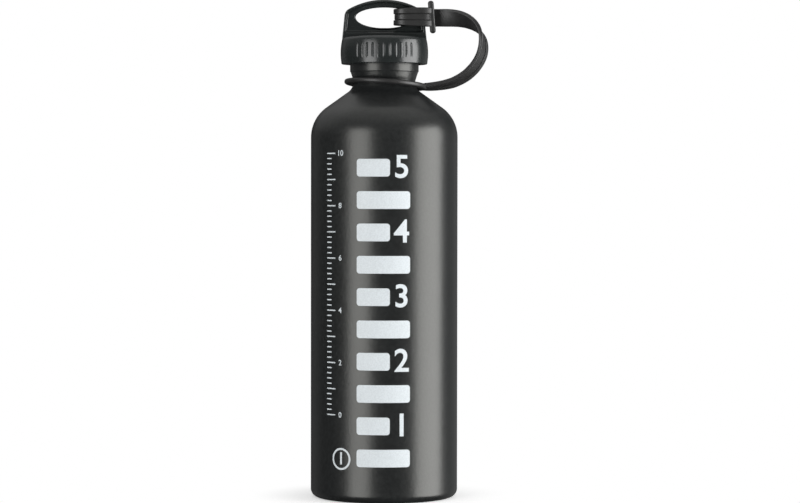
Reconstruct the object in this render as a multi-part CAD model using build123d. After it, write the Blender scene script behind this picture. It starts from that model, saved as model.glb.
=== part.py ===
from build123d import *
import math
import os

# A camping fuel bottle: a one-piece aluminium bottle with a push-and-turn stopper cap and a moulded strap.
# Millimetres, +Z up, the origin at the middle of the foot, +X towards the strap's loop.

# Bottle: barrel, shoulder, neck and mouth
body_radius = 40.0
wall = 1.2
base_thickness = 1.6
base_corner_radius = 4.3
foot_inner_radius = 31.0
dish_height = 5.0
barrel_height = 196.0
shoulder_radius = 20.0
cone_angle = 35.5
neck_radius = 16.9
neck_fillet = 7.0
throat_height = 5.83
flare_height = 3.2
collar_radius = 18.7
collar_height = 8.2
collar_edge = 0.8
mouth_radius = 13.6
mouth_edge = 0.5
throat_depth = 18.5
throat_lead = 2.0

# Stopper: hollow plug, flange with a lip round the seal, and drive teeth
thread_clearance = 0.3
plug_length = 15.5
plug_wall = 2.9
plug_lead_in = 1.4
flange_radius = 20.9
flange_thickness = 2.5
flange_edge = 0.6
seal_lip_depth = 1.1
tooth_count = 8
tooth_floor_gap = 0.5
tooth_width = 3.4
tooth_ramp = 1.5
tooth_inner_radius = 15.4
tooth_outer_radius = 19.4

# Sealing ring: a flat moulded ring with rounded edges
seal_height = 1.8
seal_outer_radius = 17.7
seal_edge = 0.5
seal_gap = 0.1

# Cap shell: skirt, deck, drive lugs, snap bead
press_travel = 1.4
lug_gap = 0.3
lug_root = 0.9
deck_thickness = 2.05
deck_edge = 1.3
skirt_drop = 14.8
skirt_wall = 1.9
skirt_top_radius = 22.9
skirt_bulge = 0.65
skirt_bottom_radius = 23.4
skirt_bottom_edge = 0.5
shell_clearance = 0.4
bead_reach = 1.2
bead_height = 1.5
bead_gap = 0.3
bead_catch_share = 0.3

# Carry handle: a flat arch on the deck, pocketed on both faces, with an eye through it
handle_depth = 7.0
handle_foot_half_width = 22.85
handle_taper = 2.0
arch_rise = 20.25
arch_radius = 39.0
arch_corner_radius = 4.6
handle_rim = 1.8
handle_web = 3.2
pocket_floor_rise = 2.2
eye_half_width = 15.7
eye_centre_rise = 10.8
eye_upper_height = 5.3
eye_lower_height = 5.95
handle_edge = 0.5

# Return spring: a wave washer between the flange and the deck
spring_radius = 10.5
spring_width = 2.8
spring_thickness = 0.45
spring_waves = 3
spring_steps = 24
spring_gap = 0.1

# Retaining strap: ring round the neck, twisted band, fold round the handle's leg, crossbar
ring_inner_radius = 18.4
ring_width = 4.2
ring_thickness = 2.6
ring_edge = 0.7
ring_side_shift = 0.75
ring_back_shift = 0.75
ring_drop = 15.05
ring_side_tilt = 3.9
ring_front_tilt = 3.4
band_width = 9.6
band_thickness = 2.3
loop_reach = 54.3
wrap_clearance = 0.35
fold_width = 8.9
fold_reach = 5.9
fold_steps = 8
tongue_width = 10.2
crossbar_reach = 26.3
crossbar_length = 17.8
crossbar_width = 3.0
crossbar_depth = 3.2
crossbar_lean = 3.0
crossbar_edge = 0.8
crossbar_stand = 0.8
stem_width = 4.6
stem_depth = 2.2

# A flat bevel of this share of a corner's radius leaves about the wall that the round corner would
bevel_share = 0.6
# Turned rounds are built of flats that leave the true arc by no more than this
round_sag = 0.1

# Where things meet, worked out from the sizes above
overrun = 1.0
half_turn = 180.0
full_turn = 360.0
shoulder_turn = 90.0 - cone_angle
shoulder_corner_z = barrel_height + shoulder_radius * math.tan(math.radians(shoulder_turn / 2))
cone_top_z = shoulder_corner_z + (body_radius - neck_radius) * math.tan(math.radians(cone_angle))
flare_start_z = cone_top_z + throat_height
flare_end_z = flare_start_z + flare_height
rim_z = flare_end_z + collar_height
plug_radius = mouth_radius - thread_clearance
seal_bottom_z = rim_z + seal_gap
seal_top_z = seal_bottom_z + seal_height
flange_top_z = seal_top_z + flange_thickness
tooth_height = press_travel - lug_gap + tooth_floor_gap
lug_length = press_travel + lug_root
lip_bottom_z = seal_top_z - seal_lip_depth
tooth_top_z = flange_top_z + tooth_height
lug_bottom_z = tooth_top_z + lug_gap
deck_inner_z = lug_bottom_z + lug_length
deck_top_z = deck_inner_z + deck_thickness
skirt_bottom_z = deck_top_z - skirt_drop
skirt_inner_radius = flange_radius + shell_clearance
bead_top_z = lip_bottom_z - bead_gap
eye_z = deck_top_z + eye_centre_rise
ring_z = rim_z - ring_drop
wrap_offset = handle_depth / 2 + wrap_clearance + band_thickness / 2


def flats(centre, radius, first_angle, last_angle):
    """Points on an arc in the plane y = 0, so close that the chords between them keep within round_sag of it."""
    step = 2 * math.acos(1 - round_sag / radius)
    count = math.ceil(abs(last_angle - first_angle) / step)
    angles = [first_angle + (last_angle - first_angle) * index / count for index in range(count + 1)]
    return [(centre[0] + radius * math.cos(angle), 0, centre[1] + radius * math.sin(angle)) for angle in angles]


def chain(points):
    """Lines through (x, z, corner radius) points in the plane y = 0; a round corner becomes flats along its arc."""
    places = [Vector(x, 0, z) for x, z, _ in points]
    line = [places[0]]
    for index in range(1, len(points) - 1):
        corner = places[index]
        radius = points[index][2]
        back = (places[index - 1] - corner).normalized()
        ahead = (places[index + 1] - corner).normalized()
        if radius == 0:
            line.append(corner)
            continue
        half_angle = math.radians(back.get_angle(ahead)) / 2
        centre = corner + (back + ahead).normalized() * (radius / math.sin(half_angle))
        entry = corner + back * (radius / math.tan(half_angle)) - centre
        leave = corner + ahead * (radius / math.tan(half_angle)) - centre
        first_angle = math.atan2(entry.Z, entry.X)
        swing = math.remainder(math.atan2(leave.Z, leave.X) - first_angle, 2 * math.pi)
        line += flats((centre.X, centre.Z), radius, first_angle, first_angle + swing)
    return line + [places[-1]]


def turned(line):
    """Solid of revolution of a closed outline about the bottle's axis."""
    return revolve(make_face(Polyline(*line, close=True)), Axis.Z)


def bevelled(inner, outer, bottom, top, edge):
    """Outline of a flat ring's section with its four corners bevelled."""
    return chain([
        (inner, bottom + edge, 0),
        (inner + edge, bottom, 0),
        (outer - edge, bottom, 0),
        (outer, bottom + edge, 0),
        (outer, top - edge, 0),
        (outer - edge, top, 0),
        (inner + edge, top, 0),
        (inner, top - edge, 0),
    ])


def dished(radius, height, z):
    """Flats along a shallow dome from its edge to the axis."""
    dome_radius = (radius**2 + height**2) / (2 * height)
    edge_angle = math.acos(radius / dome_radius)
    return flats((0, z + height - dome_radius), dome_radius, edge_angle, math.pi / 2)


def make_bottle():
    """Drawn bottle with a dished base, a round shoulder, a cone, a waisted neck and a thick collar."""
    inner_radius = body_radius - wall
    inner_shoulder_radius = shoulder_radius - wall
    inner_corner = (base_corner_radius - wall) * bevel_share
    inner_corner_z = barrel_height + inner_shoulder_radius * math.tan(math.radians(shoulder_turn / 2))
    throat_bottom_z = rim_z - throat_depth
    outline = chain([
        (foot_inner_radius, 0, 0),
        (body_radius, 0, base_corner_radius),
        (body_radius, shoulder_corner_z, shoulder_radius),
        (neck_radius, cone_top_z, neck_fillet),
        (neck_radius, flare_start_z, 0),
        (collar_radius, flare_end_z, 0),
        (collar_radius, rim_z - collar_edge, 0),
        (collar_radius - collar_edge, rim_z, 0),
        (mouth_radius + mouth_edge, rim_z, 0),
        (mouth_radius, rim_z - mouth_edge, 0),
        (mouth_radius, throat_bottom_z + throat_lead, 0),
        (mouth_radius + throat_lead, throat_bottom_z, 0),
        (inner_radius, inner_corner_z, inner_shoulder_radius),
        (inner_radius, base_thickness + inner_corner, 0),
        (inner_radius - inner_corner, base_thickness, 0),
    ])
    inside_dome = dished(foot_inner_radius, dish_height, base_thickness)
    outside_dome = dished(foot_inner_radius, dish_height, 0)
    return turned(outline + inside_dome + outside_dome[:0:-1])


def tooth(width, height, inner, outer, z):
    """Ratchet tooth standing on height z: one upright side, one ramp; width and height may be negative."""
    outline = Polyline(
        (inner, -width / 2, z),
        (inner, width / 2, z),
        (inner, width / 2, z + height),
        (inner, -width / 2 + math.copysign(tooth_ramp, width), z + height),
        close=True,
    )
    return extrude(make_face(outline), amount=outer - inner, dir=(1, 0, 0))


def round_the_axis(shape, count, first_angle):
    """Copies of a shape, evenly spaced about the bottle's axis."""
    return [Rot(0, 0, first_angle + full_turn * index / count) * shape for index in range(count)]


def make_stopper():
    """Hollow plug under a flange; the lip keeps the seal centred and the teeth take the cap's drive."""
    plug_bottom_z = rim_z - plug_length
    hollow_radius = plug_radius - plug_wall
    body = turned(chain([
        (0, flange_top_z, 0),
        (flange_radius - flange_edge, flange_top_z, 0),
        (flange_radius, flange_top_z - flange_edge, 0),
        (flange_radius, lip_bottom_z, 0),
        (seal_outer_radius + thread_clearance, lip_bottom_z, 0),
        (seal_outer_radius + thread_clearance, seal_top_z, 0),
        (plug_radius, seal_top_z, 0),
        (plug_radius, plug_bottom_z + plug_lead_in, 0),
        (plug_radius - plug_lead_in, plug_bottom_z, 0),
        (hollow_radius, plug_bottom_z, 0),
        (hollow_radius, seal_top_z, 0),
        (0, seal_top_z, 0),
    ]))
    one = tooth(tooth_width, tooth_height, tooth_inner_radius, tooth_outer_radius, flange_top_z)
    for copy in round_the_axis(one, tooth_count, 0):
        body += copy
    return body


def make_sealing_ring():
    """Elastomer ring between the flange and the mouth's rim."""
    return turned(bevelled(plug_radius + thread_clearance, seal_outer_radius, seal_bottom_z, seal_top_z, seal_edge))


def skirt_body():
    """Skirt and deck of the cap: a slightly barrelled outside, a plain inside with a snap bead."""
    bead_radius = skirt_inner_radius - bead_reach
    bead_bottom_z = bead_top_z - bead_height
    side_top_z = deck_top_z - deck_edge
    side_bottom_z = skirt_bottom_z + skirt_bottom_edge
    half_height = (side_top_z - side_bottom_z) / 2
    half_lean = (skirt_bottom_radius - skirt_top_radius) / 2
    half_chord = math.hypot(half_height, half_lean)
    side_radius = (half_chord**2 + skirt_bulge**2) / (2 * skirt_bulge)
    half_swing = math.asin(half_chord / side_radius)
    lean = math.atan2(half_lean, half_height)
    side_centre = (
        skirt_bottom_radius - side_radius * math.cos(lean - half_swing),
        side_bottom_z - side_radius * math.sin(lean - half_swing),
    )
    side = flats(side_centre, side_radius, lean - half_swing, lean + half_swing)
    deck_round = flats((skirt_top_radius - deck_edge, side_top_z), deck_edge, 0, math.pi / 2)
    rest = chain([
        (0, deck_top_z, 0),
        (0, deck_inner_z, 0),
        (skirt_inner_radius, deck_inner_z, 0),
        (skirt_inner_radius, bead_top_z, 0),
        (bead_radius, bead_top_z - bead_catch_share * bead_height, 0),
        (skirt_inner_radius, bead_bottom_z, 0),
        (skirt_bottom_radius - skirt_wall, skirt_bottom_z, 0),
        (skirt_bottom_radius - skirt_bottom_edge, skirt_bottom_z, 0),
    ])
    return turned(side + deck_round[1:] + rest)


def handle_outline(inset, bottom_z):
    """Front outline of the arch: tapered legs under a round top, drawn in by inset on its outer side."""
    arch_top_z = deck_top_z + arch_rise
    shoulder = handle_foot_half_width - handle_taper - inset
    foot = handle_foot_half_width - inset
    legs = make_face(Polyline(
        (-foot, bottom_z),
        (foot, bottom_z),
        (shoulder, arch_top_z),
        (-shoulder, arch_top_z),
        close=True,
    ))
    crown = Pos(0, arch_top_z - arch_radius) * Circle(arch_radius - inset)
    outline = legs & crown
    corners = outline.vertices().filter_by(lambda corner: corner.Y > deck_top_z + arch_rise / 2)
    return fillet(corners, arch_corner_radius - inset)


def eye_outline():
    """Lens-shaped eye: half an ellipse above and a deeper half below one middle line."""
    middle = (0, eye_z)
    upper = EllipticalCenterArc(middle, eye_half_width, eye_upper_height, start_angle=0, arc_size=half_turn)
    lower = EllipticalCenterArc(
        middle, eye_half_width, eye_lower_height, start_angle=half_turn, arc_size=half_turn
    )
    return make_face([upper, lower])


def make_handle():
    """Arch plate with a rim all round, a thinner web in a pocket on each face, and the eye through it."""
    plate = extrude(Plane.XZ * handle_outline(0, deck_top_z - deck_edge), amount=handle_depth / 2, both=True)
    edges = plate.edges().filter_by(lambda edge: edge.center().Z > deck_top_z + overrun)
    front_edges = edges.filter_by(lambda edge: edge.length > handle_depth - overrun)
    front_edges = front_edges.filter_by(lambda edge: abs(edge.center().Y) > handle_depth / 2 - handle_edge / 2)
    plate = chamfer(front_edges, handle_edge)
    pocket = Plane.XZ * handle_outline(handle_rim, deck_top_z + pocket_floor_rise)
    pocket_depth = (handle_depth - handle_web) / 2
    for side in (-1, 1):
        floor_y = side * handle_web / 2
        cutter = extrude(Pos(0, floor_y, 0) * pocket, amount=pocket_depth + overrun, dir=(0, side, 0))
        plate -= cutter
    return plate - extrude(Plane.XZ * eye_outline(), amount=handle_depth, both=True)


def make_cap_shell():
    """Cap: skirt and deck, carry handle, and lugs under the deck that drop between the stopper's teeth."""
    shell = skirt_body() + make_handle()
    one = tooth(-tooth_width, -lug_length, tooth_inner_radius, tooth_outer_radius, deck_inner_z)
    half_pitch = full_turn / tooth_count / 2
    for copy in round_the_axis(one, tooth_count, half_pitch):
        shell += copy
    return shell


def make_return_spring():
    """Wave washer: a flat strip closed round the axis, rising and falling in even waves."""
    low_z = flange_top_z + spring_gap / 2 + spring_thickness / 2
    high_z = deck_inner_z - spring_gap - spring_thickness / 2
    sections = []
    for index in range(spring_steps + 1):
        angle = full_turn * index / spring_steps
        height = (1 - math.cos(math.radians(spring_waves * angle))) / 2
        z = low_z + (high_z - low_z) * height
        turn = math.radians(angle)
        place = Plane(
            origin=(spring_radius * math.cos(turn), spring_radius * math.sin(turn), z),
            x_dir=(math.cos(turn), math.sin(turn), 0),
            z_dir=(-math.sin(turn), math.cos(turn), 0),
        )
        sections.append(place * Rectangle(spring_width, spring_thickness))
    middle = spring_steps // 2
    return loft(sections[: middle + 1], ruled=True) + loft(sections[middle:], ruled=True)


# The band's way from the ring to the handle: how far out, how far up, how far back, its roll in degrees, its width.
# Outwards runs from the ring's side to the loop's reach, upwards from the ring to the eye.
loop_shares = (
    (0.00, 0.000, 0.00, 6, 1.30),
    (0.12, 0.003, 0.00, 13, 1.08),
    (0.24, 0.013, 0.00, 16, 1.01),
    (0.37, 0.031, 0.00, 20, 1.00),
    (0.502, 0.061, 0.00, 24, 1.00),
    (0.625, 0.113, 0.00, 27, 1.00),
    (0.737, 0.179, 0.00, 30, 1.00),
    (0.835, 0.264, 0.00, 32, 1.00),
    (0.914, 0.360, 0.00, 32, 1.00),
    (0.967, 0.461, 0.00, 32, 1.00),
    (0.991, 0.571, 0.00, 27, 1.00),
    (0.986, 0.675, 0.00, 20, 1.00),
    (0.954, 0.770, 0.00, 7, 1.00),
    (0.893, 0.848, 0.00, -13, 1.00),
    (0.814, 0.909, 0.02, -27, 1.00),
    (0.713, 0.956, 0.06, -41, 1.00),
    (0.599, 0.985, 0.12, -54, 1.00),
    (0.480, 0.997, 0.20, -68, 1.00),
    (0.330, 1.000, 0.30, -85, 1.00),
    (0.200, 1.000, 0.54, -90, 1.00),
    (0.110, 1.000, 0.87, -90, 1.00),
    (0.030, 1.000, 1.00, -90, 1.00),
)
# The tongue's way from the fold to the crossbar: how far out and how far forward.
tongue_shares = (
    (0.18, 1.00),
    (0.45, 1.00),
    (0.62, 1.00),
    (0.78, 0.96),
    (0.90, 0.68),
    (1.00, 0.42),
)


def band_stations():
    """Places along the band: centre point, roll in degrees and width."""
    ring_side = ring_inner_radius + ring_width / 2
    side_z = ring_z - ring_side * math.sin(math.radians(ring_side_tilt))
    stations = []
    for out, up, back, roll, width in loop_shares:
        x = ring_side + out * (loop_reach - ring_side)
        z = side_z + up * (eye_z - side_z)
        stations.append((Vector(x, back * wrap_offset, z), roll, width * band_width))
    fold_centre = fold_reach + wrap_offset
    for index in range(fold_steps + 1):
        angle = math.radians(half_turn * index / fold_steps)
        x = fold_centre - wrap_offset * math.sin(angle)
        y = wrap_offset * math.cos(angle)
        stations.append((Vector(x, y, eye_z), -90, fold_width))
    for out, ahead in tongue_shares:
        x = fold_centre + out * (crossbar_reach - fold_centre)
        stations.append((Vector(x, -ahead * wrap_offset, eye_z), -90, tongue_width))
    return stations


def band_section(stations, index):
    """Rectangle across the band at one station, square to the run and rolled about it."""
    here, roll, width = stations[index]
    before = stations[max(index - 1, 0)][0]
    after = stations[min(index + 1, len(stations) - 1)][0]
    run = (after - before).normalized()
    front = Vector(0, -1, 0)
    if abs(roll) < 90:
        outward = run.cross(front).normalized()
        edge = front * math.cos(math.radians(roll)) - outward * math.sin(math.radians(roll))
    else:
        edge = Vector(0, 0, 1)
    edge = (edge - run * edge.dot(run)).normalized()
    return Plane(origin=here, x_dir=edge, z_dir=run) * Rectangle(width, band_thickness)


def make_strap():
    """Ring, twisted band, fold and tongue in one moulding, with a crossbar buttoned to the band by a stem."""
    ring_outer_radius = ring_inner_radius + ring_width
    ring = turned(bevelled(ring_inner_radius, ring_outer_radius, -ring_thickness / 2, ring_thickness / 2, ring_edge))
    ring = Pos(ring_side_shift, ring_back_shift, ring_z) * Rot(-ring_front_tilt, ring_side_tilt, 0) * ring
    stations = band_stations()
    sections = [band_section(stations, index) for index in range(len(stations))]
    strap = ring + loft(sections, ruled=True)
    tongue_end = stations[-1][0]
    bar = Box(crossbar_width, crossbar_depth, crossbar_length)
    bar = chamfer(bar.edges(), crossbar_edge)
    bar_place = Pos(tongue_end.X, tongue_end.Y - crossbar_stand, eye_z)
    strap += bar_place * Rot(0, crossbar_lean, 0) * bar
    run_y = loop_shares[-4][2] * wrap_offset
    stem_length = run_y - tongue_end.Y
    stem = Box(stem_depth, stem_length, stem_width)
    strap += Pos(tongue_end.X, tongue_end.Y + stem_length / 2, eye_z) * stem
    return strap


parts = {
    "bottle": make_bottle(),
    "stopper": make_stopper(),
    "sealing_ring": make_sealing_ring(),
    "return_spring": make_return_spring(),
    "cap_shell": make_cap_shell(),
    "retaining_strap": make_strap(),
}
for name, shape in parts.items():
    export_step(shape, f"parts/{name}.step")
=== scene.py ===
import math
import bmesh
import bpy
import numpy as np
from bpy.props import FloatProperty, FloatVectorProperty, IntProperty, PointerProperty
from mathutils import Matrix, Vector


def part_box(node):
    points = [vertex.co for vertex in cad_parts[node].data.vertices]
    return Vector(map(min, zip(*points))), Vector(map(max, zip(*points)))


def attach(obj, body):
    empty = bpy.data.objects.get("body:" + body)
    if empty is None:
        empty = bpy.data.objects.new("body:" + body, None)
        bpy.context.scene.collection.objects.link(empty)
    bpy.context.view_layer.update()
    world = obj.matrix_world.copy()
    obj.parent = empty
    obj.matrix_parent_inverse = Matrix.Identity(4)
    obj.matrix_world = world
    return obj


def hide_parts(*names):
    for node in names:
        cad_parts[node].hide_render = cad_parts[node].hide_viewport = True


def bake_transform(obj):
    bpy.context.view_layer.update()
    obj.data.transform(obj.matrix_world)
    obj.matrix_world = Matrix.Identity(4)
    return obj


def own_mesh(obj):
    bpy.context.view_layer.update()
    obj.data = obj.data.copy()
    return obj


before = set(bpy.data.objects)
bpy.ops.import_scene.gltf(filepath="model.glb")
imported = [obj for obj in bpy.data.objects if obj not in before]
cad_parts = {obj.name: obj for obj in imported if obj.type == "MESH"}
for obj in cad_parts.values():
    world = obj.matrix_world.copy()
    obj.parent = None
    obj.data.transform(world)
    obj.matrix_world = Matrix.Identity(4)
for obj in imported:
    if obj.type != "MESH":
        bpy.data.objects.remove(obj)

bl_info = {
    "name": "Camping Fuel Bottle",
    "version": (1, 0, 0),
    "blender": (4, 5, 0),
    "location": "View3D > Sidebar > Fuel Bottle",
    "description": "Dresses the packed fuel bottle: coated bottle, stopper, handled cap and moulded strap",
    "category": "Add Mesh",
}

MM = 0.001
TURN = 2 * math.pi
WHITE = (1, 1, 1, 1)
# Points that lie closer than this are merged, in a moulded piece and in the thin print.
MERGE = 1e-6
PRINT_MERGE = 1e-7
# Share of an arc's radius, and of the flat beside it, at which a guard point stands.
GUARD = 0.2
# Room between the stopper and the parts that fit round it, and between its teeth and the cap's lugs.
CLEARANCE = 0.3 * MM
bottle_low, bottle_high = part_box("bottle")
cap_low, cap_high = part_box("cap_shell")
stopper_low, stopper_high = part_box("stopper")
seal_low, seal_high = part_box("sealing_ring")
spring_low, spring_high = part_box("return_spring")
strap_low, strap_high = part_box("retaining_strap")


# ---- settings a user may change ----


def length(description, millimetres):
    """A length property, given in millimetres and kept in metres."""
    return FloatProperty(
        description=description, default=millimetres * MM, precision=5, unit="LENGTH", subtype="DISTANCE"
    )


def share(description, default):
    """A plain ratio."""
    return FloatProperty(description=description, default=default, precision=3, subtype="FACTOR")


def angle(description, degrees):
    """An angle property, given in degrees and kept in radians."""
    return FloatProperty(description=description, default=math.radians(degrees), subtype="ANGLE")


def colour(description, rgb):
    """A linear colour."""
    return FloatVectorProperty(description=description, default=rgb, size=3, min=0, max=1, subtype="COLOR")


def number(description, default, least):
    """A whole number."""
    return IntProperty(description=description, default=default, min=least)


class BottleSettings(bpy.types.PropertyGroup):
    wall: length("Thickness of the drawn aluminium", 1.2)
    base_thickness: length("Thickness of the dished base", 1.6)
    base_corner: length("Radius between base and barrel", 4.3)
    foot_inner_radius: length("Where the dished middle of the base begins", 31.0)
    dish_height: length("Rise of the dished middle", 5.0)
    barrel_height: length("Where the straight barrel ends", 196.0)
    shoulder_radius: length("Radius of the round shoulder in section", 20.0)
    cone_angle: angle("Slope of the cone between shoulder and neck", 35.5)
    neck_radius: length("Outside radius of the waist", 16.9)
    neck_fillet: length("Radius between cone and neck", 7.0)
    throat_height: length("Straight waist above the cone", 5.83)
    flare_height: length("Height over which the neck widens into the collar", 3.2)
    flare_drop: length("How far the flare's curve runs on down the waist", 1.6)
    crease: length("Depth of the crease under the collar", 0.35)
    collar_radius: length("Outside radius of the collar", 18.7)
    mouth_radius: length("Crest radius of the thread in the mouth", 13.6)
    throat_depth: length("Depth of the threaded mouth", 18.5)
    thread_pitch: length("Rise in one turn", 3.5)
    thread_depth: length("Depth of the thread's groove", 1.1)
    coat: colour("Colour of the powder coat", (0.0125, 0.0135, 0.0137))
    grain: length("Width of the powder coat's grain", 0.55)
    segments: number("Columns round the bottle", 224, 32)


class PrintSettings(bpy.types.PropertyGroup):
    thickness: length("How far the print stands on the coat", 0.05)
    bar_count: number("Number of level bars", 10, 1)
    bar_first: length("Height of the lowest bar's middle", 24.5)
    bar_pitch: length("Spacing of the bars", 17.2)
    bar_height: length("Height of one bar", 9.4)
    bar_left: length("Distance along the barrel from its front to the bars' left edge", -14.7)
    bar_long: length("Length of every second bar", 29.0)
    bar_short: length("Length of the bars that have a numeral beside them", 18.0)
    numeral: length("Height of the large numerals", 12.5)
    tick_left: length("Distance along the barrel from its front to the fine scale", -34.5)
    tick_count: number("Number of fine ticks", 51, 1)
    tick_first: length("Height of the lowest tick", 47.0)
    tick_pitch: length("Spacing of the fine ticks", 2.8)
    badge_left: length("Distance along the barrel from its front to the ring mark's middle", -24.2)
    badge_height: length("Height of the ring mark's middle", 23.6)
    badge_radius: length("Outer radius of the ring mark", 5.9)
    ink: colour("Colour of the print", (0.56, 0.6, 0.62))


class StopperSettings(bpy.types.PropertyGroup):
    plug_radius: length("Root radius of the plug's thread", 13.3)
    plug_wall: length("Wall of the hollow plug", 2.9)
    lead_in: length("Bevel at the plug's lower end", 1.4)
    flange_edge: length("Rounding of the flange", 0.7)
    flange_thickness: length("Flange above the seal", 2.5)
    lip_depth: length("How far the flange's lip reaches down round the seal", 1.1)
    tooth_count: number("Drive teeth on the flange", 8, 1)
    tooth_width: length("Width of a drive tooth", 3.4)
    tooth_ramp: length("How far a tooth's sloping side leans", 1.5)
    tooth_inner: length("Where the teeth begin", 15.4)
    tooth_outer: length("Where the teeth end", 19.4)
    spring_radius: length("Middle radius of the wave washer", 10.5)
    spring_width: length("Width of the spring's strip", 2.8)
    spring_thickness: length("Thickness of the spring's strip", 0.45)
    press: length("How far the cap goes down against the spring", 1.4)
    spring_waves: number("Waves round the return spring", 3, 2)


class CapSettings(bpy.types.PropertyGroup):
    deck_height: length("Top of the cap's deck", 250.66)
    deck_thickness: length("Thickness of the deck", 2.05)
    deck_edge: length("Rounding between deck and skirt", 2.6)
    skirt_drop: length("From the deck to the skirt's lower edge", 14.8)
    skirt_wall: length("Wall at the skirt's lower edge", 1.9)
    skirt_inner: length("Inside radius of the skirt", 21.3)
    skirt_top: length("Outside radius under the deck", 23.2)
    skirt_bulge: length("How far the skirt swells in the middle", 0.5)
    skirt_bottom: length("Outside radius at the lower edge", 23.4)
    bead_reach: length("How far the snap bead stands in", 1.2)
    bead_height: length("Height of the snap bead", 1.5)
    bead_top: length("Height of the snap bead's top", 240.51)
    handle_depth: length("Thickness of the handle's rim", 7.0)
    handle_web: length("Thickness of the handle's web", 3.2)
    half_width: length("Half the handle's width at the deck", 22.85)
    taper: length("How far each leg leans in", 2.0)
    arch_rise: length("Height of the arch over the deck", 20.25)
    arch_radius: length("Radius of the arch's crown", 39.0)
    arch_corner: length("Radius between leg and crown", 4.6)
    rim: length("Width of the rim's flat with its roundings", 1.15)
    crown_lean: share("Share of the depth by which the crown's outer edge lies back", 0.18)
    slope: length("Width of the sloping wall between rim and web", 0.8)
    leg_foot: length("How far the legs run down into the skirt", 3.2)
    floor_rise: length("Height of the pocket's lower lip over the deck", 2.15)
    eye_half_width: length("Half the eye's width", 15.7)
    eye_rise: length("Height of the eye's middle over the deck", 10.8)
    eye_upper: length("Eye's reach above its middle", 5.3)
    eye_lower: length("Eye's reach below its middle", 5.95)
    eye_edge: length("Rounding of the eye's edges", 1.0)
    rib_count: number("Raised ribs on each side of the skirt", 11, 0)
    rib_height: length("Height of one grip rib", 8.4)
    rib_width: length("Width of one grip rib", 1.5)
    rib_pitch: length("Spacing of the grip ribs", 3.1)
    rib_stand: length("How far a grip rib stands out", 0.26)
    plastic: colour("Colour of the cap", (0.0142, 0.0168, 0.0164))


class StrapSettings(bpy.types.PropertyGroup):
    ring_inner: length("Inside radius of the strap's ring", 18.4)
    ring_width: length("Width of the ring's section", 4.2)
    ring_thickness: length("Thickness of the ring's section", 2.6)
    ring_height: length("Height of the ring's middle", 224.96)
    ring_shift: length("How far the loose ring hangs to the strap's side and back", 0.75)
    side_tilt: angle("How far the ring sags to the strap's side", 3.9)
    front_tilt: angle("How far the ring sags to the front", -3.4)
    band_width: length("Width of the band", 9.6)
    band_thickness: length("Thickness of the band over its rails", 2.3)
    loop_reach: length("How far the loop reaches out", 54.3)
    wrap_offset: length("From the handle's middle to the band's middle", 5.0)
    fold_width: length("Width of the band round the leg", 8.9)
    fold_reach: length("Inner side of the fold", 5.9)
    tongue_width: length("Width of the tongue", 10.2)
    bar_reach: length("Crossbar's distance from the axis", 26.3)
    bar_length: length("Length of the crossbar", 17.8)
    bar_width: length("Width of the crossbar", 3.2)
    bar_depth: length("Depth of the crossbar", 3.2)
    bar_stand: length("How far the crossbar stands in front of the tongue's end", 0.3)
    bar_inset: length("How far the crossbar sits before the tongue's end", 0.5)
    bar_lean: angle("Lean of the crossbar", 4.4)
    channel_share: share("Share of the band's width that the sunk middle takes", 0.36)
    channel_depth: length("How deep the middle lies under the two rails", 0.52)
    groove_depth: length("Depth of the groove at the foot of each rail", 0.2)
    elastomer: colour("Colour of the strap", (0.0155, 0.0155, 0.0152))


class StageSettings(bpy.types.PropertyGroup):
    camera_side: length("How far the camera stands to the right of the bottle", 8.6)
    camera_distance: length("How far the camera stands in front", 1450.0)
    camera_height: length("Height of the camera", 171.0)
    camera_tilt: angle("How far the camera looks down", 1.47)
    camera_roll: angle("How far the picture leans to the right", 0.07)
    lens: FloatProperty(description="Focal length on a 36 mm sensor", default=119.5, unit="CAMERA")
    floor_size: length("Side of the floor", 6000.0)
    floor_colour: colour("Colour of the floor", (0.78, 0.78, 0.78))
    floor_lift: FloatProperty(description="Light that makes the unshadowed floor white", default=0.45)
    shadow_inner: length("How far out the bottle's shadow on the floor is whole", 38.0)
    shadow_outer: length("How far out the bottle's shadow has faded to white", 75.0)
    room: FloatProperty(description="Strength of the light from all round", default=0.01)


SETTINGS = {
    "fuel_bottle": BottleSettings,
    "fuel_print": PrintSettings,
    "fuel_stopper": StopperSettings,
    "fuel_cap": CapSettings,
    "fuel_strap": StrapSettings,
    "fuel_stage": StageSettings,
}


# ---- surfaces ----


def arc(centre, radius, turn):
    """Points of a circle at the given turns."""
    return centre + radius * np.stack([np.cos(turn), np.sin(turn)], axis=1)


def around(radius, turn, height):
    """Points about the bottle's axis: (r cos a, r sin a, z)."""
    return np.stack(np.broadcast_arrays(radius * np.cos(turn), radius * np.sin(turn), height), axis=-1)


def unit(vectors, least=0.0):
    """Each vector divided by its length, or by least where it is shorter than that."""
    return vectors / np.maximum(np.linalg.norm(vectors, axis=1), least)[:, None]


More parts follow.
